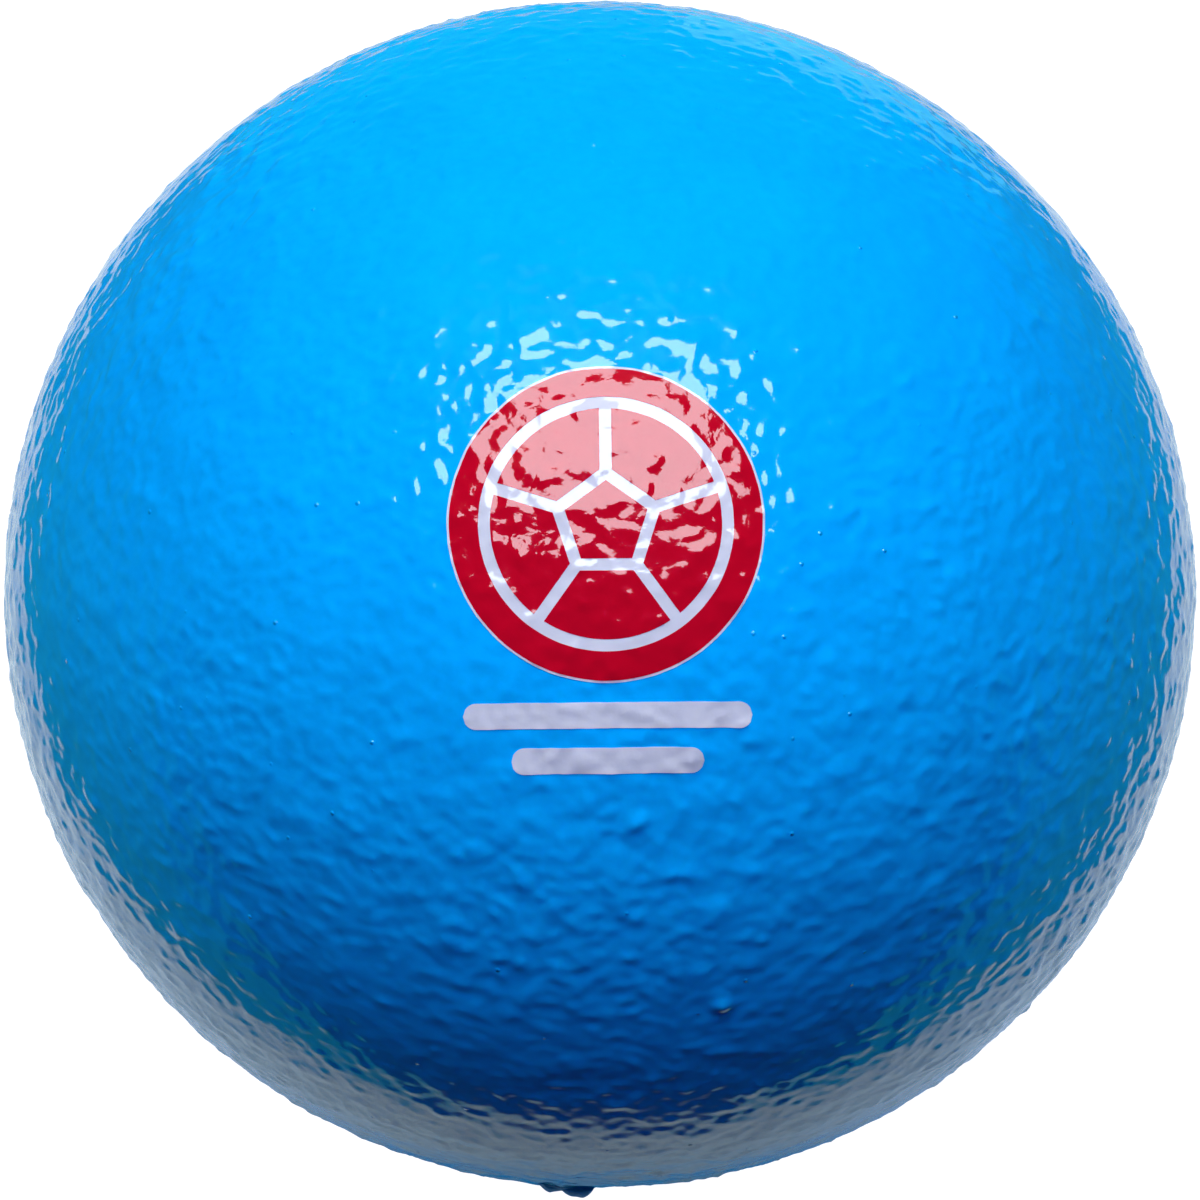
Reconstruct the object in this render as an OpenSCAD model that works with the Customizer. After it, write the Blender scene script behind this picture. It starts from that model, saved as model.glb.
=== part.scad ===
// Foam handball: a foam core in a sprayed skin, with a sealed spike hole and a printed emblem.
// Millimetres. +Z is up, the print faces -Y and up, and the origin is the middle of the flat it rests on.

/* [Ball] */
// Outside diameter of the ball
ball_d = 160; // [140:1:190]
// Diameter of the flat that the ball's own weight presses out on the floor
rest_flat_d = 20; // [14:1:30]
// Thickness of the sprayed skin
skin_t = 0.8; // [0.5:0.1:1.5]

/* [Sealing plug] */
// Tilt of the spike hole from straight down toward the front, in degrees
plug_tilt = 44.5; // [16:0.5:80]
// Turn of the spike hole toward the left, in degrees
plug_turn = 2.7; // [0:0.1:10]
// Diameter of the spike hole, which the plug's stem fills
spike_d = 2.4; // [1.5:0.1:3.2]
// Depth of the spike hole below the ball's surface
spike_depth = 9; // [5:0.5:20]
// Width of the plug's large lobe where it meets the skin
large_lobe_w = 3.9; // [3.6:0.1:5]
// Height of the large lobe above the skin
large_lobe_h = 1.3; // [0.8:0.1:1.6]
// Width of the plug's small lobe where it meets the skin
small_lobe_w = 3.2; // [2.4:0.1:4]
// Height of the small lobe above the skin
small_lobe_h = 0.75; // [0.5:0.05:1]
// Distance along the skin between the middles of the two lobes
lobe_pitch = 4; // [3:0.1:4.6]
// How far the thin smear under the lobes reaches past them
smear_lap = 0.3; // [0.1:0.1:1]
// Height of the smear in its middle
smear_h = 0.35; // [0.2:0.05:0.5]

/* [Print place] */
// Lift of the print's middle above level, in degrees
print_lift = 42.3; // [0:0.1:90]
// Turn of the print toward the right, in degrees
print_turn = 0.8; // [-10:0.1:10]

/* [Print design] */
// Diameter of the red disc
disc_d = 39; // [36:0.5:46]
// Width of the white rim that the base film shows around the red disc
base_rim = 0.3; // [0.1:0.05:1]
// Width of the red border around the ball figure
border_w = 3.6; // [2:0.1:4.6]
// Width of the white lines in the ball figure
line_w = 1.5; // [0.8:0.1:2.2]
// Distance of the pentagon's corners from its middle
pentagon_r = 5.4; // [4:0.1:6.4]
// Length of the long bar below the disc
long_bar_l = 36; // [26:1:42]
// Length of the short bar below the long one
short_bar_l = 24; // [14:1:42]
// Width of both bars
bar_w = 3.2; // [2:0.1:4.4]
// Bare gap above each bar
bar_gap = 2.4; // [1:0.1:4]
// Thickness of the white film
film_t = 0.1; // [0.06:0.01:0.3]
// Thickness of the red ink on the film
ink_t = 0.06; // [0.04:0.01:0.2]

/* [Hidden] */
$fn = 256;

// The flat cuts the ball's underside, so its middle is this far above the floor
ball_r = ball_d / 2;
ball_mid = sqrt(pow(ball_r, 2) - pow(rest_flat_d / 2, 2));

// The smear runs from the small lobe's outer edge to the large lobe's, centred between them
smear_w = lobe_pitch + (large_lobe_w + small_lobe_w) / 2 + 2 * smear_lap;
smear_shift = (large_lobe_w - small_lobe_w) / 4 - lobe_pitch / 2;

// The print is laid out from its top edge down: base disc, long bar, short bar
base_d = disc_d + 2 * base_rim;
print_h = base_d + 2 * (bar_gap + bar_w);
disc_y = (print_h - base_d) / 2;
long_bar_y = disc_y - base_d / 2 - bar_gap - bar_w / 2;
short_bar_y = long_bar_y - bar_gap - bar_w;

// The ball figure: five side panels around a pentagon, with white lines between them
panels = 5;
half_panel = 180 / panels;
figure_r = disc_d / 2 - border_w - line_w;
panel_start = pentagon_r * cos(half_panel) + line_w;
panel_tip = line_w / 2 / sin(half_panel);

lacquer_blue = "#008ce0";
plug_blue = "#0a5a8c";
foam_cream = "#efe4c4";
film_white = "#e6ecf4";
ink_red = "#b80f2c";

// Radius of a dome that is w wide where it leaves the ball and stands h above it
function dome_r(w, h) =
    let (rise = ball_r + h - sqrt(pow(ball_r, 2) - pow(w / 2, 2)))
    (pow(rise, 2) + pow(w / 2, 2)) / (2 * rise);

// Half the width of a side panel at a distance x from the figure's middle
function panel_half(x) = (x - panel_tip) * tan(half_panel);

// The ball's form, shrunk evenly by inset, with its flat underside
module ball_form(inset) {
    intersection() {
        translate([0, 0, ball_mid]) sphere(ball_r - inset);
        translate([-ball_d, -ball_d, inset]) cube(2 * ball_d);
    }
}

// Puts +Z on the spike hole's axis, outward from the ball's middle
module at_plug() {
    translate([0, 0, ball_mid]) rotate([180 - plug_tilt, plug_turn, 0]) children();
}

// Puts +Z on the print's axis, with +X to the viewer's right and +Y up
module at_print() {
    translate([0, 0, ball_mid]) rotate([90 - print_lift, 0, print_turn]) children();
}

// The spike hole's round space, ending a little way above the ball's surface
module spike(proud) {
    at_plug()
        translate([0, 0, ball_r - spike_depth])
            cylinder(d = spike_d, h = spike_depth + proud);
}

// A low dome on the ball, shifted along the surface from the spike hole
module dome(w, h, shift) {
    at_plug()
        rotate([0, shift / ball_r * 180 / PI, 0])
            translate([0, 0, ball_r + h - dome_r(w, h)])
                sphere(dome_r(w, h));
}

// A flat outline laid on the ball, between two heights above the skin
module film(low, high) {
    intersection() {
        difference() {
            translate([0, 0, ball_mid]) sphere(ball_r + high);
            translate([0, 0, ball_mid]) sphere(ball_r + low);
        }
        at_print() linear_extrude(ball_d) children();
    }
}

// A bar with round ends
module bar_outline(length) {
    straight = length - bar_w;
    square([straight, bar_w], center = true);
    for (side = [-1, 1]) {
        translate([side * straight / 2, 0]) circle(d = bar_w);
    }
}

// One side panel of the ball figure, pointing along +X
module panel_outline() {
    intersection() {
        circle(figure_r);
        polygon([
            [panel_start, -panel_half(panel_start)],
            [disc_d, -panel_half(disc_d)],
            [disc_d, panel_half(disc_d)],
            [panel_start, panel_half(panel_start)],
        ]);
    }
}

module foam_core() {
    color(foam_cream)
        difference() {
            ball_form(skin_t);
            spike(large_lobe_h);
        }
}

module skin() {
    color(lacquer_blue)
        difference() {
            ball_form(0);
            ball_form(skin_t);
            spike(large_lobe_h);
        }
}

module seal_plug() {
    color(plug_blue) {
        difference() {
            union() {
                dome(large_lobe_w, large_lobe_h, 0);
                dome(small_lobe_w, small_lobe_h, -lobe_pitch);
                dome(smear_w, smear_h, smear_shift);
            }
            ball_form(0);
        }
        spike(large_lobe_h / 2);
    }
}

module print_base() {
    color(film_white)
        film(0, film_t)
            translate([0, disc_y]) circle(d = base_d);
}

module red_border() {
    color(ink_red)
        film(film_t, film_t + ink_t)
            translate([0, disc_y])
                difference() {
                    circle(d = disc_d);
                    circle(figure_r + line_w);
                }
}

module red_panels() {
    color(ink_red)
        film(film_t, film_t + ink_t)
            translate([0, disc_y])
                for (i = [0 : panels - 1]) {
                    rotate(90 + half_panel * (2 * i + 1)) panel_outline();
                }
}

module red_pentagon() {
    color(ink_red)
        film(film_t, film_t + ink_t)
            translate([0, disc_y]) rotate(90) circle(pentagon_r, $fn = panels);
}

module long_bar() {
    color(film_white)
        film(0, film_t)
            translate([0, long_bar_y]) bar_outline(long_bar_l);
}

module short_bar() {
    color(film_white)
        film(0, film_t)
            translate([0, short_bar_y]) bar_outline(short_bar_l);
}

foam_core();
skin();
seal_plug();
print_base();
red_border();
red_panels();
red_pentagon();
long_bar();
short_bar();
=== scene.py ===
"""Looks of a foam handball: a foam core in a sprayed, glossy blue skin with a printed emblem."""

import math

import bmesh
import bpy
from mathutils import Matrix, Vector, noise


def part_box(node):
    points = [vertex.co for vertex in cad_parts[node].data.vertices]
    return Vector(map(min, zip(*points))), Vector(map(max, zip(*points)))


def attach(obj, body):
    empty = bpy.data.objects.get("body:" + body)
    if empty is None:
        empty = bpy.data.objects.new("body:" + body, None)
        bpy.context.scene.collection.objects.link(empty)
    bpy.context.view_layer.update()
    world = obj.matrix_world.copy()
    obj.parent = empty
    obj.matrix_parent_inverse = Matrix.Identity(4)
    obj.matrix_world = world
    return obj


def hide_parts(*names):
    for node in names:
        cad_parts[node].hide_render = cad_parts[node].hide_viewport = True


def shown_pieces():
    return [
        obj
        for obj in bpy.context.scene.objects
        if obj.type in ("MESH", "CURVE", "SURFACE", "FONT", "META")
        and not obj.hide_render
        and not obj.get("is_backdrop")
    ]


bl_info = {
    "name": "Foam Handball",
    "version": (1, 0, 0),
    "blender": (4, 5, 0),
    "location": "3D View > Sidebar > Foam Handball",
    "description": "Dresses a foam handball in a sprayed skin, a sealed hole and a printed emblem",
    "category": "Add Mesh",
}

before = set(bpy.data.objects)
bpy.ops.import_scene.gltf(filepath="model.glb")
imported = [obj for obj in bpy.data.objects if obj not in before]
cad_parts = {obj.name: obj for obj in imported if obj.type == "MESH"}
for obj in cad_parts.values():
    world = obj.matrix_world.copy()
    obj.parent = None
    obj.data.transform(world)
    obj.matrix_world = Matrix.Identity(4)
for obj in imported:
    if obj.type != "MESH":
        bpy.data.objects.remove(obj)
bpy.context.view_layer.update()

# The solids are in metres, and the ball's details are given in millimetres
MM = 0.001


def top_of(node):
    """Height of a node's top."""
    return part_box(node)[1].z


def flat_radius(node):
    """Radius of the flat underside of a node."""
    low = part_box(node)[0].z
    around = [v.co.xy.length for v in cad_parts[node].data.vertices if v.co.z < low + 1e-6]
    return max(around)


# The flat is a chord of the ball, so its edge and the ball's top give the ball's radius
FLAT_R = flat_radius("skin")
BALL_R = (top_of("skin") ** 2 + FLAT_R**2) / (2 * top_of("skin"))
BALL_MID = Vector((0, 0, top_of("skin") - BALL_R))
SKIN_T = top_of("skin") - top_of("foam_core")


def linear(code):
    """Linear colour of an sRGB hex code."""
    parts = [int(code[i : i + 2], 16) / 255 for i in (1, 3, 5)]
    return [c / 12.92 if c <= 0.04045 else ((c + 0.055) / 1.055) ** 2.4 for c in parts] + [1.0]


def size(name, description, default):
    """A length that a user may change."""
    return bpy.props.FloatProperty(
        name=name, description=description, default=default, precision=5, unit="LENGTH"
    )


def angle(name, description, default):
    """An angle that a user may change."""
    return bpy.props.FloatProperty(
        name=name, description=description, default=math.radians(default), subtype="ANGLE"
    )


def power(name, description, watts):
    """A lamp's power that a user may change."""
    return bpy.props.FloatProperty(
        name=name, description=description, default=watts, min=0, unit="POWER"
    )


def fraction(name, description, default):
    """A part of a whole that a user may change."""
    return bpy.props.FloatProperty(
        name=name, description=description, default=default, min=0, max=1, subtype="FACTOR"
    )


def colour(name, description, code):
    """A colour that a user may change."""
    return bpy.props.FloatVectorProperty(
        name=name, description=description, default=linear(code), size=4, subtype="COLOR", min=0, max=1
    )


class SkinSettings(bpy.types.PropertyGroup):
    """The sprayed skin and the foam in it."""

    cells: bpy.props.IntProperty(
        name="Cells", description="Grid cells along a sixth of the skin", default=240, min=16
    )
    peel_w: size("Peel Width", "Half the spacing of the orange peel's bumps", 1.5 * MM)
    peel_h: size("Peel Height", "Height of the orange peel", 0.15 * MM)
    lump_w: size("Lump Width", "Half the spacing of the larger lumps under the peel", 3.1 * MM)
    lump_h: size("Lump Height", "Height of the lumps", 0.185 * MM)
    swell_w: size("Swell Width", "Half the spacing of the broad swells", 7.5 * MM)
    swell_h: size("Swell Height", "Height of the broad swells", 0.17 * MM)
    patch_w: size("Patch Width", "Half the spacing of patches that caught more or less spray", 36 * MM)
    patch_share: fraction("Patch Share", "How much rougher or smoother a patch may be", 0.65)
    calm_share: fraction("Calm Share", "How much smoother the side away from the spike is", 0.15)
    squash: size("Squash", "How much the ball's radius falls short along the spike hole", 0.34 * MM)
    spot_w: size("Spot Spacing", "Spacing of the small pimples", 4.5 * MM)
    spot_r: size("Spot Radius", "Radius of the small pimples", 0.65 * MM)
    spot_h: size("Spot Height", "Height of the small pimples", 0.18 * MM)
    blue: colour("Blue", "Colour of the sprayed skin", "#00B0F9")
    core_cells: bpy.props.IntProperty(
        name="Core Cells", description="Grid cells along a sixth of the foam core", default=64, min=16
    )
    pit_w: size("Pit Width", "Half the spacing of the pits in the foam", 2 * MM)
    pit_h: size("Pit Depth", "Depth of the pits in the foam", 0.1 * MM)
    foam: colour("Foam", "Colour of the foam", "#EFE4C4")


class PlugSettings(bpy.types.PropertyGroup):
    """The lump that seals the hole left by the spraying spike."""

    tilt: angle("Tilt", "Tilt of the hole from straight down toward the front", 44.5)
    turn: angle("Turn", "Turn of the hole toward the left", 2.7)
    stem_d: size("Stem Diameter", "Diameter of the stem in the hole", 2.4 * MM)
    stem_l: size("Stem Length", "Depth of the hole", 9 * MM)
    large_w: size("Large Lobe Width", "Width of the large lobe", 3.9 * MM)
    large_h: size("Large Lobe Height", "Height of the large lobe", 1.42 * MM)
    small_w: size("Small Lobe Width", "Width of the small lobe", 3.2 * MM)
    small_h: size("Small Lobe Height", "Height of the small lobe", 0.9 * MM)
    pitch: size("Lobe Pitch", "Distance between the lobes", 4 * MM)
    dip_h: size("Dip Height", "Height of the lump in the dip between the lobes", 0.65 * MM)
    smear_lap: size("Smear Lap", "Reach of the thin smear past the lobes", 0.3 * MM)
    smear_h: size("Smear Height", "Height of the smear", 0.3 * MM)
    rough_w: size("Roughness Width", "Half the spacing of the lump's own bumps", 0.9 * MM)
    rough_share: fraction("Roughness Share", "How much the bumps raise or lower the lump", 0.06)
    ragged_share: fraction("Ragged Share", "How much the lump's edge wanders", 0.1)
    bite: size("Bite", "How deep the lump sits in the skin", 0.03 * MM)
    # The plug's blue is deeper than the skin's: partly its thicker lacquer, partly painted shade for the
    # lump on the ball's underside
    blue: colour("Blue", "Colour of the plug's lacquer, deepened with painted shade", "#0096FF")


class PrintSettings(bpy.types.PropertyGroup):
    """The emblem printed on the skin."""

    lift: angle("Lift", "Lift of the emblem's middle above level", 42.3)
    turn: angle("Turn", "Turn of the emblem toward the right", 0.8)
    disc_d: size("Disc Diameter", "Diameter of the red disc", 39 * MM)
    base_rim: size("Base Rim", "Width of the white rim around the red disc", 0.3 * MM)
    border_w: size("Border Width", "Width of the red border", 3.6 * MM)
    line_w: size("Line Width", "Width of the white lines of the ball figure", 1.5 * MM)
    pentagon_r: size("Pentagon Radius", "Distance of the pentagon's corners from its middle", 5.4 * MM)
    long_bar_l: size("Long Bar", "Length of the upper bar", 36 * MM)
    short_bar_l: size("Short Bar", "Length of the lower bar", 24 * MM)
    bar_w: size("Bar Width", "Width of both bars", 3.2 * MM)
    bar_gap: size("Bar Gap", "Bare gap above each bar", 2.4 * MM)
    film_t: size("Film Thickness", "Thickness of the white film", 0.1 * MM)
    ink_t: size("Ink Thickness", "Thickness of the red ink on the film", 0.06 * MM)
    bite: size("Bite", "How deep each layer sits in the one under it", 0.02 * MM)
    cell: size("Cell", "Size of the print's grid cells", 0.45 * MM)
    white: colour("White", "Colour of the film", "#DBDDDE")
    red: colour("Red", "Colour of the ink", "#C60322")


class StageSettings(bpy.types.PropertyGroup):
    """Camera, table and lights."""

    lift: angle("Camera Lift", "Height of the camera above level, seen from the ball", 40)
    distance: size("Camera Distance", "Distance of the camera from the ball's middle", 1.0)
    floor_tone: colour("Floor Tone", "Colour of the floor", "#B4B4B4")
    floor_fill: colour("Floor Fill", "Even light that keeps shadows on the floor pale", "#DCDCDC")
    # The table top and the daylight on its far end are painted light: glowing planes, not lit surfaces
    table_tone: colour("Table Tone", "Colour of the table top beside the ball", "#27B8BC")
    far_tone: colour("Far Table Tone", "Colour of the table top behind the sheet", "#2795A0")
    middle_tone: colour("Daylight Tone", "Colour of the daylight on the far end", "#30DFFF")
    light_tone: colour("Bright Daylight Tone", "Colour of the brighter patch beside it", "#7CFFFF")
    sheet_wide: size("Sheet Width", "Width of the white sheet under the ball", 0.386)
    sheet_deep: size("Sheet Depth", "Depth of the white sheet", 0.571)
    sheet_back: size("Sheet Back", "How far the sheet's middle is behind the ball", 0.205)
    sheet_edge: fraction("Sheet Edge", "Share of the sheet over which its edge fades", 0.03)
    sheet_tone: colour("Sheet Tone", "Colour of the sheet", "#C6D0CC")
    # The sheet's glow and the ball's cast on it are painted light and a painted shadow, seen only in the
    # gloss
    cast_r: size("Cast Radius", "How far the ball's own colour falls on the sheet", 40 * MM)
    cast_tone: colour("Cast Tone", "Colour that the ball casts on the sheet", "#0A5F94")
    glow_r: size("Glow Radius", "Where the sheet first has the room's full glow", 60 * MM)
    glow_tone: colour("Glow Tone", "Colour of the room's glow on the sheet", "#A3B4C7")
    # The sheet's dimmer far end is painted shade
    shade_start: size("Shade Start", "How far behind the ball the sheet begins to dim", 0.27)
    shade_end: size("Shade End", "How far behind the ball the sheet is dimmest", 0.42)
    shade_share: fraction("Shade Share", "How much the sheet is dimmed at its far end", 0.5)
    box_lift: angle("Softbox Lift", "Height of the softbox above level", 67.5)
    box_turn: angle("Softbox Turn", "Turn of the softbox toward the right", 3.5)
    box_away: size("Softbox Distance", "Distance of the softbox from the ball's middle", 0.9)
    box_wide: size("Softbox Width", "Width of the softbox", 0.65)
    box_deep: size("Softbox Depth", "Depth of the softbox", 0.48)
    box_watts: power("Softbox Power", "Power of the softbox", 10.0)
    box_tone: colour("Softbox Tone", "Colour of the softbox's light", "#E7F5FF")
    scrim_lift: angle("Scrim Lift", "Height of the scrim above level", 77.8)
    scrim_turn: angle("Scrim Turn", "Turn of the scrim toward the right", -9.2)
    scrim_away: size("Scrim Distance", "Distance of the scrim from the ball's middle", 0.9)
    scrim_wide: size("Scrim Width", "Width of the scrim", 0.75)
    scrim_deep: size("Scrim Depth", "Depth of the scrim", 0.6)
    scrim_watts: power("Scrim Power", "Power of the scrim overhead", 9.0)
    scrim_tone: colour("Scrim Tone", "Colour of the scrim's light", "#FFFFD2")
    window_lift: angle("Window Lift", "Height of the window's blue light above level", 63)
    window_away: size("Window Distance", "Distance of the window's light from the ball's middle", 0.9)
    window_wide: size("Window Width", "Width and height of the window's light", 0.5)
    window_watts: power("Window Power", "Power of the window's light", 5.2)
    window_tone: colour("Window Tone", "Colour of the window's light", "#3059FF")
    sun_lift: angle("Sun Lift", "Height of the floor's sun above level", 42)
    sun_spread: angle("Sun Spread", "Width of the sun, which softens the shadow", 20)
    sun_strength: bpy.props.FloatProperty(
        name="Sun Strength", description="Strength of the sun on the floor", default=5.6, min=0
    )


def add(tree, kind, sockets, **settings):
    """Adds a node. Each socket takes a value, or the output of another node."""
    made = tree.nodes.new(kind)
    for name, value in settings.items():
        setattr(made, name, value)
    for name, value in sockets.items():
        if isinstance(value, bpy.types.NodeSocket):
            tree.links.new(value, made.inputs[name])
        else:
            made.inputs[name].default_value = value
    return made


def blank_material(name):
    """A new material with no nodes."""
    made = bpy.data.materials.new(name)
    made.use_nodes = True
    made.node_tree.nodes.clear()
    return made


def scaled(value, factor):
    """A colour made lighter or deeper."""
    return [min(1.0, c * factor) for c in value[:3]] + [1.0]


def per_metre(mm):
    """Scale of a texture whose pattern repeats about every so many millimetres."""
    return 1000 / mm


# The values of a noise texture lie mostly between these
NOISE_LOW, NOISE_HIGH = 0.3, 0.7


def sprayed_lacquer(name, blue, glossiest, dullest, shine):
    """Polyurethane lacquer sprayed thick over foam: a wet gloss, with faint clouds where it is thicker."""
    # Sizes in millimetres. Spray grain is finer, and is drawn as coarse as it needs to show
    cloud_w, speck_w, grain_w, dust_gap, dust_h = 14, 1.6, 0.8, 5.5, 0.18
    # Reach of a grain of dust in shares of the gap, and height of the fine grain in shares of the dust's
    dust_reach, grain_share = 0.07, 0.1
    deepest, palest = 0.93, 1.07
    made = blank_material(name)
    tree = made.node_tree
    place = add(tree, "ShaderNodeTexCoord", {}).outputs["Object"]
    clouds = add(tree, "ShaderNodeTexNoise", {"Vector": place, "Scale": per_metre(cloud_w), "Detail": 3})
    specks = add(tree, "ShaderNodeTexNoise", {"Vector": place, "Scale": per_metre(speck_w), "Detail": 2})
    depth = add(
        tree,
        "ShaderNodeMath",
        {0: clouds.outputs["Fac"], 1: specks.outputs["Fac"]},
        operation="ADD",
    )
    shade = add(
        tree,
        "ShaderNodeMapRange",
        {"Value": depth.outputs[0], "From Min": 2 * NOISE_LOW, "From Max": 2 * NOISE_HIGH},
    )
    tint = add(
        tree,
        "ShaderNodeMix",
        {0: shade.outputs[0], 6: scaled(blue, deepest), 7: scaled(blue, palest)},
        data_type="RGBA",
    )
    gloss = add(
        tree,
        "ShaderNodeMapRange",
        {
            "Value": specks.outputs["Fac"],
            "From Min": NOISE_LOW,
            "From Max": NOISE_HIGH,
            "To Min": glossiest,
            "To Max": dullest,
        },
    )
    grain = add(tree, "ShaderNodeTexNoise", {"Vector": place, "Scale": per_metre(grain_w), "Detail": 1})
    # Grains of dust under the lacquer stand up as pips, which catch the light as tiny glints
    dust = add(tree, "ShaderNodeTexVoronoi", {"Vector": place, "Scale": per_metre(dust_gap)})
    pips = add(
        tree,
        "ShaderNodeMapRange",
        {"Value": dust.outputs["Distance"], "From Max": dust_reach, "To Min": 1.0, "To Max": 0.0},
        interpolation_type="SMOOTHSTEP",
    )
    rough = add(
        tree,
        "ShaderNodeMath",
        {0: grain.outputs["Fac"], 1: grain_share, 2: pips.outputs[0]},
        operation="MULTIPLY_ADD",
    )
    bump = add(
        tree, "ShaderNodeBump", {"Height": rough.outputs[0], "Distance": dust_h * MM, "Strength": 1.0}
    )
    body = add(
        tree,
        "ShaderNodeBsdfPrincipled",
        {
            "Base Color": tint.outputs[2],
            "Roughness": gloss.outputs[0],
            "IOR": 1.5,
            "Specular IOR Level": shine,
            "Normal": bump.outputs[0],
        },
    )
    add(tree, "ShaderNodeOutputMaterial", {"Surface": body.outputs[0]})
    return made


def printed_film(name, tone):
    """Screen-printed plastisol film: an even colour, a little mottled, as glossy as the lacquer."""
    # Sizes in millimetres. A screen's mesh is finer, and is drawn as coarse as it needs to show
    mottle_w, mesh_w, mesh_h = 2.2, 0.7, 0.025
    deepest, palest = 0.975, 1.025
    glossiest, dullest = 0.04, 0.09
    made = blank_material(name)
    tree = made.node_tree
    place = add(tree, "ShaderNodeTexCoord", {}).outputs["Object"]
    mottle = add(tree, "ShaderNodeTexNoise", {"Vector": place, "Scale": per_metre(mottle_w), "Detail": 4})
    tint = add(
        tree,
        "ShaderNodeMix",
        {0: mottle.outputs["Fac"], 6: scaled(tone, deepest), 7: scaled(tone, palest)},
        data_type="RGBA",
    )
    gloss = add(
        tree,
        "ShaderNodeMapRange",
        {
            "Value": mottle.outputs["Fac"],
            "From Min": NOISE_LOW,
            "From Max": NOISE_HIGH,
            "To Min": glossiest,
            "To Max": dullest,
        },
    )
    mesh_mark = add(tree, "ShaderNodeTexNoise", {"Vector": place, "Scale": per_metre(mesh_w), "Detail": 1})
    bump = add(
        tree,
        "ShaderNodeBump",
        {"Height": mesh_mark.outputs["Fac"], "Distance": mesh_h * MM, "Strength": 1.0},
    )
    body = add(
        tree,
        "ShaderNodeBsdfPrincipled",
        {
            "Base Color": tint.outputs[2],
            "Roughness": gloss.outputs[0],
            "IOR": 1.5,
            "Normal": bump.outputs[0],
        },
    )
    add(tree, "ShaderNodeOutputMaterial", {"Surface": body.outputs[0]})
    return made


def moulded_foam(name, tone):
    """Moulded polyurethane foam: a matt cream skin of fine burst cells, with painted shade deepening the
    colour in each cell's pit.
    """
    # Sizes in millimetres. Real cells are finer, and are drawn as coarse as they need to show
    cell_w, cell_h = 0.9, 0.25
    deepest = 0.72
    made = blank_material(name)
    tree = made.node_tree
    place = add(tree, "ShaderNodeTexCoord", {}).outputs["Object"]
    cells = add(tree, "ShaderNodeTexVoronoi", {"Vector": place, "Scale": per_metre(cell_w)})
    # Painted shade: the colour deepens toward the bottom of each pit
    tint = add(
        tree,
        "ShaderNodeMix",
        {0: cells.outputs["Distance"], 6: scaled(tone, deepest), 7: tone},
        data_type="RGBA",
    )
    bump = add(
        tree,
        "ShaderNodeBump",
        {"Height": cells.outputs["Distance"], "Distance": cell_h * MM, "Strength": 0.8},
    )
    body = add(
        tree,
        "ShaderNodeBsdfPrincipled",
        {
            "Base Color": tint.outputs[2],
            "Roughness": 0.9,
            "IOR": 1.45,
            "Normal": bump.outputs[0],
        },
    )
    add(tree, "ShaderNodeOutputMaterial", {"Surface": body.outputs[0]})
    return made


def smooth_step(low, high, value):
    """0 below low, 1 above high and smooth between."""
    t = min(1.0, max(0.0, (value - low) / (high - low)))
    return t * t * (3 - 2 * t)


# Two drips that stand out from the peel: lift, turn to the right, radius and height
DRIPS = (
    (math.radians(-1.9), math.radians(11.2), 1.25 * MM, 0.7 * MM),
    (math.radians(-32.5), math.radians(57.9), 2.0 * MM, 0.5 * MM),
)


def lifted(lift, turn, away):
    """A place around the ball's middle, at angles above level and to the right of the front."""
    level = Vector((math.sin(turn), -math.cos(turn), 0))
    return BALL_MID + away * (level * math.cos(lift) + Vector((0, 0, math.sin(lift))))


# The way the spike points out of the ball
SPIKE_WAY = Vector((0, -0.7, -0.71))


def peaked(value, sharpness):
    """Makes the peaks of a noise sharper than its hollows."""
    return math.expm1(sharpness * value) / sharpness


def skin_relief(settings):
    """A function that gives the skin's height over the true ball, in a direction from its middle."""
    peel_w, peel_h = settings.peel_w, settings.peel_h
    lump_w, lump_h = settings.lump_w, settings.lump_h
    swell_w, swell_h = settings.swell_w, settings.swell_h
    spot_w, spot_r, spot_h = settings.spot_w, settings.spot_r, settings.spot_h
    patch_w, patch_share = settings.patch_w, settings.patch_share
    calm_share, squash = settings.calm_share, settings.squash
    # Each kind of bump is read from its own part of the noise
    apart = Vector((31.7, 12.9, 57.3))
    patch_at = Vector((50.31, 70.33, 79.99))
    # Each pimple reads a noise at its own place, in these steps, and is full-grown from this value on
    spot_step, spot_full = 3.7, 0.3
    # Drops level out before they set, so the small bumps have the sharpest peaks
    peel_peak, lump_peak = 1.4, 1.2
    # Share of the ball's height around the flat in which the bumps fade
    flat_fade = 0.02
    flat_cos = math.sqrt(1 - (FLAT_R / BALL_R) ** 2)
    drips = [(lifted(lift, turn, 1) - BALL_MID, radius, high) for lift, turn, radius, high in DRIPS]

    def height(way):
        place = way * BALL_R
        peel = noise.noise(place / peel_w)
        lump = noise.noise(place / lump_w + apart)
        swell = noise.noise(place / swell_w - apart)
        full = peel_h * peaked(peel, peel_peak)
        full += lump_h * peaked(lump, lump_peak)
        full += swell_h * swell
        full *= 1 + patch_share * noise.noise(place / patch_w + patch_at)
        # The lacquer runs smoothest on the side away from the spike
        full *= 1 + calm_share * min(0.0, way.dot(SPIKE_WAY))
        # The ball is a little out of round
        full -= squash * way.dot(SPIKE_WAY) ** 2
        near, seeds = noise.voronoi(place / spot_w)
        share = smooth_step(0, spot_full, noise.noise(seeds[0] * spot_step))
        full += spot_h * share * math.exp(-((near[0] * spot_w / spot_r) ** 2))
        for middle, radius, high in drips:
            off = (way - middle).length * BALL_R
            if off < 3 * radius:
                full += high * math.exp(-((off / radius) ** 2))
        # The floor presses the skin smooth around the flat
        return full * (1 - smooth_step(flat_cos - flat_fade, flat_cos, -way.z))

    return height


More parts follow.
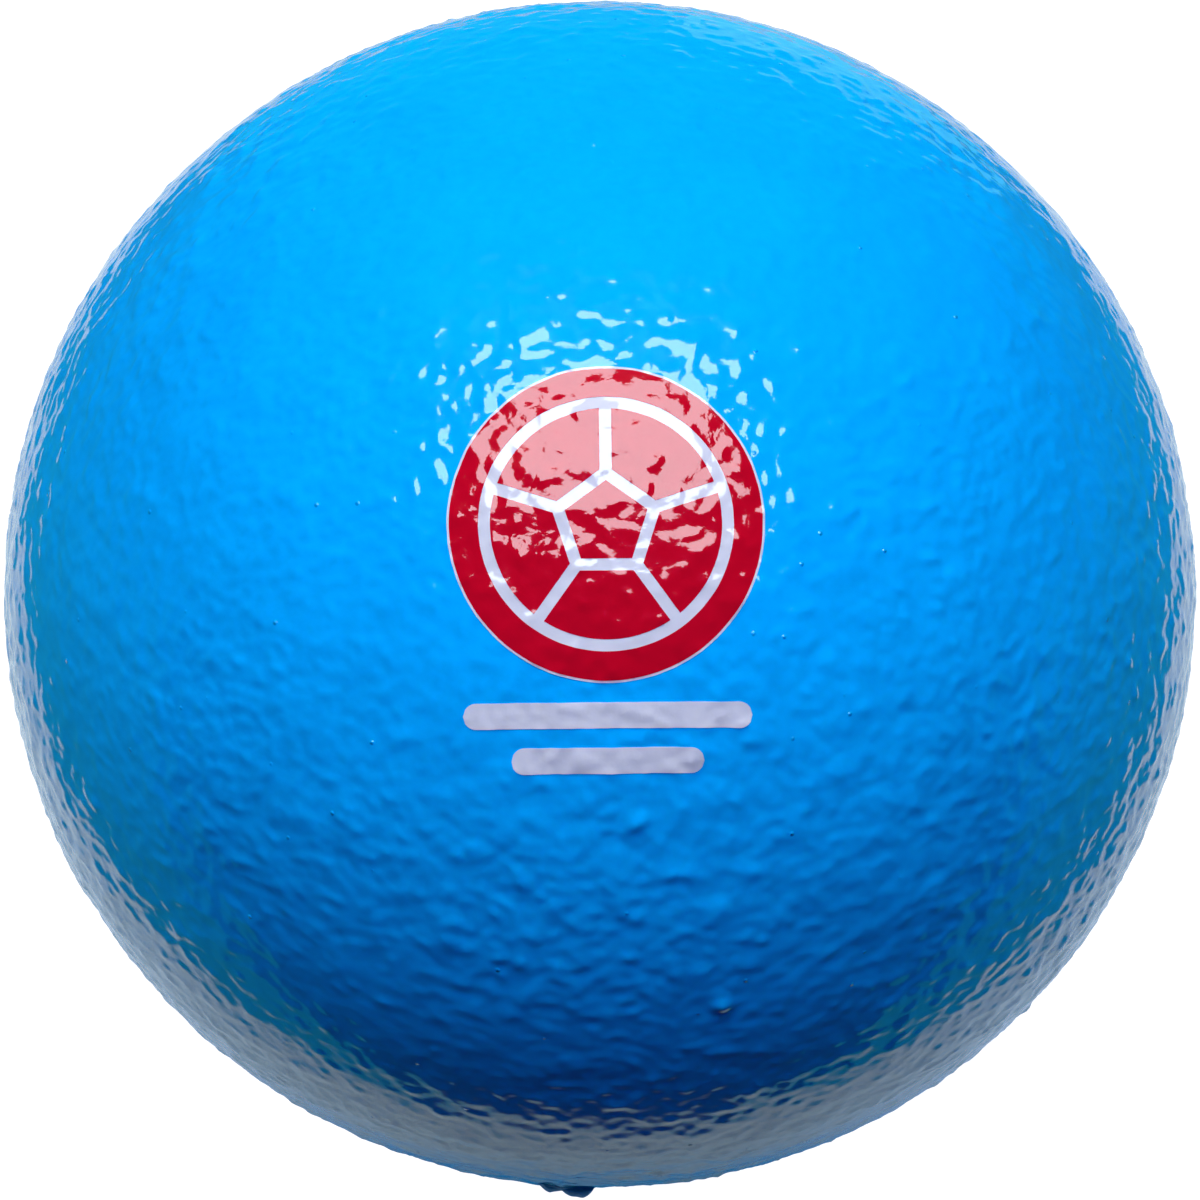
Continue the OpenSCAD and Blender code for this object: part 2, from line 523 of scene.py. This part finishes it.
def on_ball(way, radius, low):
    """The point in a direction from the ball's middle, at a radius but no lower than low."""
    drop = BALL_MID.z - low
    if -way.z * radius > drop:
        radius = drop / -way.z
    return BALL_MID + way * radius


def blown_cube(cells):
    """A cube's surface in grid cells, blown up to a ball of unit radius in equal angles."""
    grid = bmesh.new()
    bmesh.ops.create_cube(grid, size=2)
    bmesh.ops.subdivide_edges(grid, edges=grid.edges, cuts=cells - 1, use_grid_fill=True)
    for v in grid.verts:
        v.co = Vector([math.tan(c * math.pi / 4) for c in v.co]).normalized()
    return grid


def map_sides(grid, corner, cell, columns):
    """Lays the six sides of a blown cube on the texture map, in rows of cells from a corner."""
    layer = grid.loops.layers.uv.verify()
    # Each side keeps a narrow margin in its cell
    margin = 0.01
    inner = 1 - 2 * margin
    for face in grid.faces:
        middle = face.calc_center_median()
        axis = max(range(3), key=lambda i: abs(middle[i]))
        side = 2 * axis + (middle[axis] > 0)
        left = corner[0] + cell[0] * (side % columns)
        low = corner[1] + cell[1] * (side // columns)
        for loop in face.loops:
            way = loop.vert.co
            across = math.atan(way[axis - 2] / abs(way[axis])) / (math.pi / 2) + 0.5
            along = math.atan(way[axis - 1] / abs(way[axis])) / (math.pi / 2) + 0.5
            u = left + cell[0] * (margin + inner * across)
            v = low + cell[1] * (margin + inner * along)
            loop[layer].uv = (u, v)


# Faces that meet more steeply than this have a sharp edge between them
SHARP_FROM = math.radians(50)

# Points closer than this are one
MERGE = 1e-7


def finish_piece(name, grid, material, slot, *nodes):
    """Makes an object of a mesh, hides the solids it stands for and hangs it on the ball's body."""
    mesh = bpy.data.meshes.new(name)
    grid.to_mesh(mesh)
    grid.free()
    for face in mesh.polygons:
        face.use_smooth = True
    mesh.set_sharp_from_angle(angle=SHARP_FROM)
    mesh.materials.append(material)
    piece = bpy.data.objects.new(name, mesh)
    bpy.context.scene.collection.objects.link(piece)
    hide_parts(*nodes)
    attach(piece, "root")
    return piece


class SpraySkin(bpy.types.Operator):
    """Sprays the skin: a thin shell with orange peel outside, smooth inside and flat where it rests"""

    bl_idname = "foam_ball.spray_skin"
    bl_label = "Spray Skin"

    def execute(self, context):
        settings = context.scene.foam_ball_skin
        relief = skin_relief(settings)
        # On the texture map the lining takes a low strip, and the outside two rows above it
        strip = 0.14
        grid = blown_cube(settings.cells)
        map_sides(grid, (0, strip), (1 / 3, (1 - strip) / 2), 3)
        for v in grid.verts:
            v.co = on_ball(v.co, BALL_R + relief(v.co), 0)
        inside = blown_cube(settings.cells // 4)
        map_sides(inside, (0, 0), (1 / 6, strip), 6)
        for v in inside.verts:
            v.co = on_ball(v.co, BALL_R - SKIN_T, SKIN_T)
        bmesh.ops.reverse_faces(inside, faces=inside.faces)
        lining = bpy.data.meshes.new("lining")
        inside.to_mesh(lining)
        inside.free()
        grid.from_mesh(lining)
        bpy.data.meshes.remove(lining)
        lacquer = sprayed_lacquer(
            "Sprayed polyurethane lacquer", settings.blue, glossiest=0.03, dullest=0.07, shine=0.5
        )
        skin = finish_piece("sprayed_skin", grid, lacquer, "skin_coating", "skin")
        skin.data.uv_layers[0].name = "OFBake"
        return {"FINISHED"}


class FillCore(bpy.types.Operator):
    """Fills the skin with its moulded foam core"""

    bl_idname = "foam_ball.fill_core"
    bl_label = "Fill Core"

    def execute(self, context):
        settings = context.scene.foam_ball_skin
        grid = blown_cube(settings.core_cells)
        for v in grid.verts:
            pit = noise.noise(v.co * BALL_R / settings.pit_w)
            v.co = on_ball(v.co, BALL_R - SKIN_T - settings.pit_h * (1 - pit), SKIN_T)
        foam = moulded_foam("Moulded polyurethane foam", settings.foam)
        core = finish_piece("moulded_core", grid, foam, "foam", "foam_core")
        return {"FINISHED"}


class SealHole(bpy.types.Operator):
    """Seals the spike hole with a two-lobed lump on a stem"""

    bl_idname = "foam_ball.seal_hole"
    bl_label = "Seal Hole"

    def execute(self, context):
        settings = context.scene.foam_ball_plug
        relief = skin_relief(context.scene.foam_ball_skin)
        tilt = Matrix.Rotation(math.pi - settings.tilt, 3, "X")
        turn = Matrix.Rotation(settings.turn, 3, "Y") @ tilt
        lobes_w = settings.pitch + (settings.large_w + settings.small_w) / 2
        half_long = lobes_w / 2 + settings.smear_lap
        half_wide = settings.large_w / 2 + settings.smear_lap
        middle = (settings.large_w - settings.small_w) / 4 - settings.pitch / 2
        # Slopes along the lump: foot or dip and its height, top and its height, and how round the top is
        foot_at = -settings.small_w / 2 - settings.pitch
        dip_at = settings.small_w / 2 - settings.pitch
        slopes = (
            (foot_at, 0.0, -settings.pitch, settings.small_h, 1.2),
            (dip_at, settings.dip_h, -settings.pitch, settings.small_h, 1.2),
            (dip_at, settings.dip_h, 0.0, settings.large_h, 2.6),
            (settings.large_w / 2, 0.0, 0.0, settings.large_h, 3.0),
        )
        # A power below 1 makes the lump's sides steeper than its top
        side_power = 0.6

        def lump(x, y, reach):
            """Height of the lump over the skin. reach is 0 in its middle and 1 at its edge."""
            smear = settings.smear_h * math.sqrt(max(0.0, 1 - reach**2))
            ridge = 0.0
            for foot, foot_h, top, top_h, roundness in slopes:
                share = (x - foot) / (top - foot)
                if 0 <= share <= 1:
                    ridge = foot_h + (top_h - foot_h) * (1 - (1 - share) ** roundness)
            widen = smooth_step(-settings.pitch, 0.0, x)
            half = (settings.small_w + (settings.large_w - settings.small_w) * widen) / 2
            across = max(0.0, 1 - (y / half) ** 2) ** side_power
            rough = noise.noise(Vector((x, y, 0.0)) / settings.rough_w)
            return max(smear, ridge * across) * (1 + settings.rough_share * rough)

        def ragged(a):
            """How far the lump's edge reaches at an angle, as a share of its even reach."""
            bends, slice_at = 1.7, 4.2
            wander = noise.noise(Vector((math.cos(a), math.sin(a), slice_at)) * bends)
            return 1 + settings.ragged_share * wander

        grid = bmesh.new()
        rings, spokes = 36, 120
        outer, under = [], []
        for i in range(rings + 1):
            reach = i / rings
            for j in range(spokes):
                a = 2 * math.pi * j / spokes
                x = middle + half_long * reach * ragged(a) * math.cos(a)
                y = half_wide * reach * ragged(a) * math.sin(a)
                way = turn @ Vector((x, y, math.sqrt(BALL_R**2 - x * x - y * y))).normalized()
                skin = BALL_R + relief(way)
                outer.append(grid.verts.new(BALL_MID + way * (skin + lump(x, y, reach))))
                under.append(grid.verts.new(BALL_MID + way * (skin - settings.bite)))
        for i in range(rings):
            for j in range(spokes):
                k = (j + 1) % spokes
                a, b = i * spokes + j, i * spokes + k
                c, d = b + spokes, a + spokes
                grid.faces.new((outer[a], outer[d], outer[c], outer[b]))
                grid.faces.new((under[a], under[b], under[c], under[d]))
        for j in range(spokes):
            a, b = rings * spokes + j, rings * spokes + (j + 1) % spokes
            grid.faces.new((outer[a], under[a], under[b], outer[b]))
        bmesh.ops.remove_doubles(grid, verts=grid.verts, dist=MERGE)
        stem_sides = 24
        stem_mid = turn @ Vector((0, 0, BALL_R - settings.stem_l / 2))
        stem_at = Matrix.Translation(BALL_MID + stem_mid) @ turn.to_4x4()
        bmesh.ops.create_cone(
            grid,
            cap_ends=True,
            segments=stem_sides,
            radius1=settings.stem_d / 2,
            radius2=settings.stem_d / 2,
            depth=settings.stem_l,
            matrix=stem_at,
        )
        # A duller lacquer than the skin's, in a deeper blue that is partly painted shade
        lacquer = sprayed_lacquer(
            "Pooled polyurethane lacquer with painted shade", settings.blue, glossiest=0.35, dullest=0.45, shine=0.2
        )
        finish_piece("seal_lump", grid, lacquer, "plug_coating", "seal_plug")
        return {"FINISHED"}


class PrintEmblem(bpy.types.Operator):
    """Prints the emblem: white film on the skin, and red ink on the film"""

    bl_idname = "foam_ball.print_emblem"
    bl_label = "Print Emblem"

    def execute(self, context):
        settings = context.scene.foam_ball_print
        relief = skin_relief(context.scene.foam_ball_skin)
        tilt = Matrix.Rotation(math.pi / 2 - settings.lift, 3, "X")
        turn = Matrix.Rotation(settings.turn, 3, "Z") @ tilt
        base_r = settings.disc_d / 2 + settings.base_rim
        disc_y = settings.bar_gap + settings.bar_w
        long_y = disc_y - base_r - settings.bar_gap - settings.bar_w / 2
        short_y = long_y - settings.bar_gap - settings.bar_w
        panels = 5
        fifth = 2 * math.pi / panels
        figure_r = settings.disc_d / 2 - settings.border_w - settings.line_w
        apothem = settings.pentagon_r * math.cos(fifth / 2)

        def steps(length):
            """Number of grid cells along a length."""
            return max(1, math.ceil(length / settings.cell))

        def lay(grid, rows, closed, low, high):
            """Lays a patch of film on the skin. Each row is a list of points in the emblem's plane."""
            top, under = [], []
            for row in rows:
                for height, kept in ((high, top), (low, under)):
                    line = []
                    for x, y in row:
                        up = math.sqrt(BALL_R**2 - x * x - y * y)
                        way = turn @ Vector((x, y, up)).normalized()
                        line.append(grid.verts.new(BALL_MID + way * (BALL_R + relief(way) + height)))
                    kept.append(line)
            wide = len(rows[0])
            for i in range(len(rows) - 1):
                for j in range(wide if closed else wide - 1):
                    k = (j + 1) % wide
                    grid.faces.new((top[i][j], top[i + 1][j], top[i + 1][k], top[i][k]))
                    grid.faces.new((under[i][j], under[i][k], under[i + 1][k], under[i + 1][j]))
            for i in (0, len(rows) - 1):
                for j in range(wide if closed else wide - 1):
                    k = (j + 1) % wide
                    grid.faces.new((top[i][j], top[i][k], under[i][k], under[i][j]))
            if not closed:
                for j in (0, wide - 1):
                    for i in range(len(rows) - 1):
                        grid.faces.new((top[i][j], top[i + 1][j], under[i + 1][j], under[i][j]))

        def ring(inner, outer, around):
            """Rows of points between two outlines, each given as a radius at an angle."""
            rows = []
            deep = steps(max(outer(0) - inner(0), settings.cell))
            for i in range(deep + 1):
                row = []
                for j in range(around):
                    a = 2 * math.pi * j / around
                    r = inner(a) + (outer(a) - inner(a)) * i / deep
                    row.append((r * math.cos(a), disc_y + r * math.sin(a)))
                rows.append(row)
            return rows

        def pentagon(a):
            """Radius of the pentagon at an angle, with a corner up."""
            off = (a - math.pi / 2) % fifth
            return apothem / math.cos(off - fifth / 2)

        def panel(i):
            """Rows of points of a side panel, from its straight inner edge to its round outer one."""
            tip = settings.line_w / 2 / math.sin(fifth / 2)
            start = apothem + settings.line_w
            slope = math.tan(fifth / 2)
            # The side's line meets the figure's circle here
            square, half = 1 + slope**2, slope**2 * tip
            far = (half + math.sqrt(half**2 - square * (slope**2 * tip**2 - figure_r**2))) / square
            narrow = (start - tip) * slope
            widest = math.asin((far - tip) * slope / figure_r)
            axis = math.pi / 2 + fifth * (i + 0.5)
            across = steps(2 * widest * figure_r)
            deep = steps(figure_r - start)
            rows = []
            for v in range(deep + 1):
                row = []
                for u in range(across + 1):
                    side = 2 * u / across - 1
                    inner = Vector((start, narrow * side))
                    outer = Vector((math.cos(widest * side), math.sin(widest * side))) * figure_r
                    x, y = inner.lerp(outer, v / deep)
                    right = x * math.cos(axis) - y * math.sin(axis)
                    high = x * math.sin(axis) + y * math.cos(axis)
                    row.append((right, disc_y + high))
                rows.append(row)
            return rows

        def bar(length, middle):
            """Rows of points of a bar with round ends."""
            half_w = settings.bar_w / 2
            half_rows, end_cells, crowding = 4, 12, 0.35
            across = steps(length) + end_cells
            rows = []
            for v in range(2 * half_rows + 1):
                row = []
                for u in range(across + 1):
                    # Even steps along the middle, closer ones round each end
                    t = u / across
                    turn_in = 0.5 - 0.5 * math.cos(math.pi * t)
                    x = (crowding * turn_in + (1 - crowding) * t - 0.5) * length
                    over = max(0.0, abs(x) - (length / 2 - half_w))
                    high = math.sqrt(max(0.0, half_w**2 - over**2))
                    row.append((x, middle + high * (v / half_rows - 1)))
                rows.append(row)
            return rows

        def make(name, node, patches, heights, look):
            """One printed piece of patches of film, between two heights over the skin."""
            grid = bmesh.new()
            for rows, closed in patches:
                lay(grid, rows, closed, *heights)
            bmesh.ops.remove_doubles(grid, verts=grid.verts, dist=MERGE)
            bmesh.ops.dissolve_degenerate(grid, edges=grid.edges, dist=MERGE)
            bmesh.ops.recalc_face_normals(grid, faces=grid.faces)
            finish_piece(name, grid, *look, node)

        def even(radius):
            """A round outline."""
            return lambda a: radius

        white = (printed_film("White plastisol film", settings.white), "white_film")
        red = (printed_film("Red screen ink", settings.red), "red_ink")
        film_top, ink_top = settings.film_t, settings.film_t + settings.ink_t
        on_skin = (-settings.bite, film_top)
        on_film = (film_top - settings.bite, ink_top)
        around = panels * steps(2 * math.pi * base_r / panels)
        around_middle = 80
        disc = ring(even(0), even(base_r), around)
        border = ring(even(figure_r + settings.line_w), even(settings.disc_d / 2), around)
        middle = ring(even(0), pentagon, around_middle)
        sides = [(panel(i), False) for i in range(panels)]
        long_bar = bar(settings.long_bar_l, long_y)
        short_bar = bar(settings.short_bar_l, short_y)
        make("white_disc", "print_base", [(disc, True)], on_skin, white)
        make("red_ring", "red_border", [(border, True)], on_film, red)
        make("red_side_panels", "red_panels", sides, on_film, red)
        make("red_middle", "red_pentagon", [(middle, True)], on_film, red)
        make("white_long_bar", "long_bar", [(long_bar, False)], on_skin, white)
        make("white_short_bar", "short_bar", [(short_bar, False)], on_skin, white)
        return {"FINISHED"}


def filled_paper(name, tone, fill):
    """Matt white paper, with an even fill light that keeps shadows on it pale."""
    made = blank_material(name)
    tree = made.node_tree
    paper = add(tree, "ShaderNodeBsdfDiffuse", {"Color": tone})
    even = add(tree, "ShaderNodeEmission", {"Color": fill})
    both = add(tree, "ShaderNodeAddShader", {0: paper.outputs[0], 1: even.outputs[0]})
    add(tree, "ShaderNodeOutputMaterial", {"Surface": both.outputs[0]})
    return made


def lit_paper(name, settings):
    """A soft-edged oval of matt paper. In the gloss it carries painted light: the room's glow, and near
    the ball a painted shadow in the ball's own blue. Its far end is dimmed as painted shade.
    """
    middle = (0, settings.sheet_back, 0)
    halves = (settings.sheet_wide / 2, settings.sheet_deep / 2, 1)
    made = blank_material(name)
    tree = made.node_tree
    paper = add(tree, "ShaderNodeBsdfDiffuse", {"Color": settings.sheet_tone})
    rays = add(tree, "ShaderNodeLightPath", {})
    place = add(tree, "ShaderNodeTexCoord", {})
    away = add(tree, "ShaderNodeVectorMath", {0: place.outputs["Object"]}, operation="LENGTH")
    # Painted light and painted shadow: the glow in the gloss gives way near the ball to a dark blue cast
    clear = add(
        tree,
        "ShaderNodeMapRange",
        {"Value": away.outputs["Value"], "From Min": settings.cast_r, "From Max": settings.glow_r},
    )
    tint = add(
        tree,
        "ShaderNodeMix",
        {0: clear.outputs[0], 6: settings.cast_tone, 7: settings.glow_tone},
        data_type="RGBA",
    )
    room = add(
        tree,
        "ShaderNodeEmission",
        {"Color": tint.outputs[2], "Strength": rays.outputs["Is Glossy Ray"]},
    )
    both = add(tree, "ShaderNodeAddShader", {0: paper.outputs[0], 1: room.outputs[0]})
    moved = add(
        tree, "ShaderNodeVectorMath", {0: place.outputs["Object"], 1: middle}, operation="SUBTRACT"
    )
    oval = add(tree, "ShaderNodeVectorMath", {0: moved.outputs[0], 1: halves}, operation="DIVIDE")
    reach = add(tree, "ShaderNodeVectorMath", {0: oval.outputs[0]}, operation="LENGTH")
    gone = add(
        tree,
        "ShaderNodeMapRange",
        {
            "Value": reach.outputs["Value"],
            "From Min": 1 - settings.sheet_edge,
            "From Max": 1 + settings.sheet_edge,
        },
        interpolation_type="SMOOTHSTEP",
    )
    # Painted shade: the far end thins out as though it lay in the ball's own shade
    axes = add(tree, "ShaderNodeSeparateXYZ", {0: place.outputs["Object"]})
    shade = add(
        tree,
        "ShaderNodeMapRange",
        {
            "Value": axes.outputs[1],
            "From Min": settings.shade_start,
            "From Max": settings.shade_end,
            "To Max": settings.shade_share,
        },
    )
    thin = add(tree, "ShaderNodeMath", {0: gone.outputs[0], 1: shade.outputs[0]}, operation="MAXIMUM")
    bare = add(tree, "ShaderNodeBsdfTransparent", {})
    fade = add(tree, "ShaderNodeMixShader", {0: thin.outputs[0], 1: both.outputs[0], 2: bare.outputs[0]})
    add(tree, "ShaderNodeOutputMaterial", {"Surface": fade.outputs[0]})
    return made


def glowing_table(name, near, far, start, end):
    """A table top drawn as painted light: a glowing plane whose colour changes between two distances
    behind the ball.
    """
    made = blank_material(name)
    tree = made.node_tree
    place = add(tree, "ShaderNodeTexCoord", {})
    axes = add(tree, "ShaderNodeSeparateXYZ", {0: place.outputs["Object"]})
    back = add(tree, "ShaderNodeMapRange", {"Value": axes.outputs[1], "From Min": start, "From Max": end})
    tone = add(tree, "ShaderNodeMix", {0: back.outputs[0], 6: near, 7: far}, data_type="RGBA")
    glow = add(tree, "ShaderNodeEmission", {"Color": tone.outputs[2]})
    add(tree, "ShaderNodeOutputMaterial", {"Surface": glow.outputs[0]})
    return made


def lay_flat(name, corners, height, material, hidden_from):
    """A flat piece of the stage at a height, hidden from some kinds of ray."""
    made = bpy.data.objects.new(name, bpy.data.meshes.new(name))
    outline = bmesh.new()
    outline.faces.new([outline.verts.new((x, y, height)) for x, y in corners])
    outline.to_mesh(made.data)
    outline.free()
    made.data.materials.append(material)
    for ray in hidden_from:
        setattr(made, "visible_" + ray, False)
    bpy.context.scene.collection.objects.link(made)
    made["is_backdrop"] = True
    return made


def face_ball(thing, target):
    """Turns a camera or a lamp toward a point."""
    thing.rotation_euler = (target - thing.location).to_track_quat("-Z", "Y").to_euler()


def hang_lamp(name, kind, strength, place, lit):
    """A lamp that faces the ball and lights only some objects."""
    made = bpy.data.objects.new(name, bpy.data.lights.new(name, kind))
    made.data.energy = strength
    made.location = place
    face_ball(made, BALL_MID)
    made.light_linking.receiver_collection = lit
    bpy.context.scene.collection.objects.link(made)
    return made


def room(name):
    """Surroundings: white to the camera, a pale back wall in the gloss, and a blue haze behind."""
    dark, blue = linear("#00050D"), linear("#1C30B4")
    grey, pale = linear("#212121"), linear("#19EDFF")
    # Where the haze and the wall begin and end toward the back, and how high the wall reaches
    haze_from, haze_to = -0.2, 0.5
    wall_from, wall_to, wall_top = 0.66, 0.9, 0.7
    made = bpy.data.worlds.new(name)
    made.use_nodes = True
    tree = made.node_tree
    tree.nodes.clear()
    rays = add(tree, "ShaderNodeLightPath", {})
    way = add(tree, "ShaderNodeTexCoord", {}).outputs["Generated"]
    axes = add(tree, "ShaderNodeSeparateXYZ", {0: way})
    rise = add(
        tree,
        "ShaderNodeMapRange",
        {"Value": axes.outputs[1], "From Min": haze_from, "From Max": haze_to},
    )
    haze = add(tree, "ShaderNodeMix", {0: rise.outputs[0], 6: dark, 7: blue}, data_type="RGBA")
    behind = add(
        tree,
        "ShaderNodeMapRange",
        {"Value": axes.outputs[1], "From Min": wall_from, "From Max": wall_to},
    )
    low = add(
        tree,
        "ShaderNodeMapRange",
        {"Value": axes.outputs[2], "From Min": wall_top, "From Max": 0.0},
    )
    wall = add(tree, "ShaderNodeMath", {0: behind.outputs[0], 1: low.outputs[0]}, operation="MULTIPLY")
    far = add(tree, "ShaderNodeMix", {0: wall.outputs[0], 6: grey, 7: pale}, data_type="RGBA")
    dim = add(
        tree,
        "ShaderNodeMix",
        {0: rays.outputs["Is Glossy Ray"], 6: haze.outputs[2], 7: far.outputs[2]},
        data_type="RGBA",
    )
    glow = add(
        tree,
        "ShaderNodeMix",
        {0: rays.outputs["Is Camera Ray"], 6: dim.outputs[2], 7: (1, 1, 1, 1)},
        data_type="RGBA",
    )
    sky = add(tree, "ShaderNodeBackground", {"Color": glow.outputs[2]})
    add(tree, "ShaderNodeOutputWorld", {"Surface": sky.outputs[0]})
    return made


def hang_panel(name, watts, place, wide, deep, tone, lit, unseen):
    """A rectangular lamp of a colour, which one kind of ray doesn't see."""
    made = hang_lamp(name, "AREA", watts, place, lit)
    made.data.shape = "RECTANGLE"
    made.data.size = wide
    made.data.size_y = deep
    made.data.color = tone[:3]
    setattr(made, "visible_" + unseen, False)


# Outlines of the flat pieces of the stage, in metres, and their heights. No two share a plane
FAR = 6
FLOOR = ((-FAR, -FAR), (FAR, -FAR), (FAR, FAR), (-FAR, FAR))
TABLE_TOP = ((-3, -0.08), (3, -0.08), (3, FAR), (-3, FAR))
TABLE_MIDDLE = ((-0.22, 0.46), (0.05, 0.46), (0.5, FAR), (-2.6, FAR))
TABLE_LIGHT = ((0.03, 0.42), (0.28, 0.5), (2.4, FAR), (0.5, FAR))
FLOOR_Z, SHEET_Z, LIGHT_Z, MIDDLE_Z, TABLE_Z = 0, -0.0005, -0.001, -0.002, -0.003


class SetStage(bpy.types.Operator):
    """Sets the floor, the table, the lights, the surroundings and the camera"""

    bl_idname = "foam_ball.set_stage"
    bl_label = "Set Stage"

    def execute(self, context):
        scene = context.scene
        settings = scene.foam_ball_stage
        scene.view_settings.view_transform = "Standard"
        scene.world = room("dim studio")

        # The camera sees an even white floor
        white = filled_paper("White paper floor", settings.floor_tone, settings.floor_fill)
        floor = lay_flat("floor", FLOOR, FLOOR_Z, white, ("diffuse", "glossy", "transmission", "shadow"))

        # The skin mirrors an oval white sheet
        reach = 1 + settings.sheet_edge
        half_x, half_y = reach * settings.sheet_wide / 2, reach * settings.sheet_deep / 2
        rim_points = 180
        rim = []
        for i in range(rim_points):
            a = 2 * math.pi * i / rim_points
            rim.append((half_x * math.cos(a), settings.sheet_back + half_y * math.sin(a)))
        paper = lit_paper("White paper sheet", settings)
        sheet = lay_flat("sheet", rim, SHEET_Z, paper, ("camera", "shadow"))

        # It lies on a dimmer table top, with daylight on the far end, all painted light: glowing planes
        # that the camera never sees. The table top also lights the ball and the sheet
        dim_from, dim_to = 0.22, 0.38
        table_glow = glowing_table("Glowing table top", settings.table_tone, settings.far_tone, dim_from, dim_to)
        table = lay_flat("table_top", TABLE_TOP, TABLE_Z, table_glow, ("camera", "transmission", "shadow"))
        for name, tone, height, corners in (
            ("table_middle", settings.middle_tone, MIDDLE_Z, TABLE_MIDDLE),
            ("table_light", settings.light_tone, LIGHT_Z, TABLE_LIGHT),
        ):
            day = glowing_table("Daylight on the " + name, tone, tone, dim_from, dim_to)
            lay_flat(name, corners, height, day, ("camera", "diffuse", "transmission", "shadow"))

        # Each lamp lights only some objects
        lit_floor = bpy.data.collections.new("floor only")
        lit_floor.objects.link(floor)
        lit_ball = bpy.data.collections.new("ball only")
        lit_both = bpy.data.collections.new("ball and sheet")
        lit_both.objects.link(sheet)
        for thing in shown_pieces():
            lit_ball.objects.link(thing)
            lit_both.objects.link(thing)
        table.light_linking.receiver_collection = lit_both

        # A softbox shows in the gloss, a scrim and a window light the ball, and a sun lights the floor
        hang_panel(
            "softbox",
            settings.box_watts,
            lifted(settings.box_lift, settings.box_turn, settings.box_away),
            settings.box_wide,
            settings.box_deep,
            settings.box_tone,
            lit_ball,
            "diffuse",
        )
        hang_panel(
            "scrim",
            settings.scrim_watts,
            lifted(settings.scrim_lift, settings.scrim_turn, settings.scrim_away),
            settings.scrim_wide,
            settings.scrim_deep,
            settings.scrim_tone,
            lit_both,
            "glossy",
        )
        hang_panel(
            "window",
            settings.window_watts,
            lifted(settings.window_lift, 0, settings.window_away),
            settings.window_wide,
            settings.window_wide,
            settings.window_tone,
            lit_ball,
            "glossy",
        )
        # A sun's light is the same from any distance
        sun_at = lifted(settings.sun_lift, 0, 1.0)
        sun = hang_lamp("floor_sun", "SUN", settings.sun_strength, sun_at, lit_floor)
        sun.data.angle = settings.sun_spread

        # In pixels: half the frame, half the ball's width, and how far its middle is above the frame's
        half_px, ball_px, raised_px = 600, 595.1, 5.9
        camera = bpy.data.objects.new("camera", bpy.data.cameras.new("camera"))
        spread = math.tan(math.asin(BALL_R / settings.distance))
        half_frame = spread * half_px / ball_px
        camera.data.lens = camera.data.sensor_width / 2 / half_frame
        camera.location = lifted(settings.lift, 0, settings.distance)
        upward = Vector((0, math.sin(settings.lift), math.cos(settings.lift)))
        drop = half_frame * settings.distance * raised_px / half_px
        face_ball(camera, BALL_MID - upward * drop)
        scene.collection.objects.link(camera)
        scene.camera = camera
        return {"FINISHED"}


class PartsPanel(bpy.types.Panel):
    """Lists the steps that build the ball"""

    bl_idname = "VIEW3D_PT_foam_ball"
    bl_label = "Foam Handball"
    bl_space_type = "VIEW_3D"
    bl_region_type = "UI"
    bl_category = "Foam Handball"

    def draw(self, context):
        for step in STEPS:
            self.layout.operator(step.bl_idname)
        for name in SETTINGS:
            group = getattr(context.scene, name)
            for entry in group.__annotations__:
                self.layout.prop(group, entry)


STEPS = (FillCore, SpraySkin, SealHole, PrintEmblem, SetStage)
SETTINGS = {
    "foam_ball_skin": SkinSettings,
    "foam_ball_plug": PlugSettings,
    "foam_ball_print": PrintSettings,
    "foam_ball_stage": StageSettings,
}


def register():
    for name, group in SETTINGS.items():
        bpy.utils.register_class(group)
        setattr(bpy.types.Scene, name, bpy.props.PointerProperty(type=group))
    for made in (*STEPS, PartsPanel):
        bpy.utils.register_class(made)


def unregister():
    for made in reversed((*STEPS, PartsPanel)):
        bpy.utils.unregister_class(made)
    for name, group in SETTINGS.items():
        delattr(bpy.types.Scene, name)
        bpy.utils.unregister_class(group)


def main():
    register()
    bpy.ops.foam_ball.fill_core()
    bpy.ops.foam_ball.spray_skin()
    bpy.ops.foam_ball.seal_hole()
    bpy.ops.foam_ball.print_emblem()
    bpy.ops.foam_ball.set_stage()


if __name__ == "__main__":
    main()
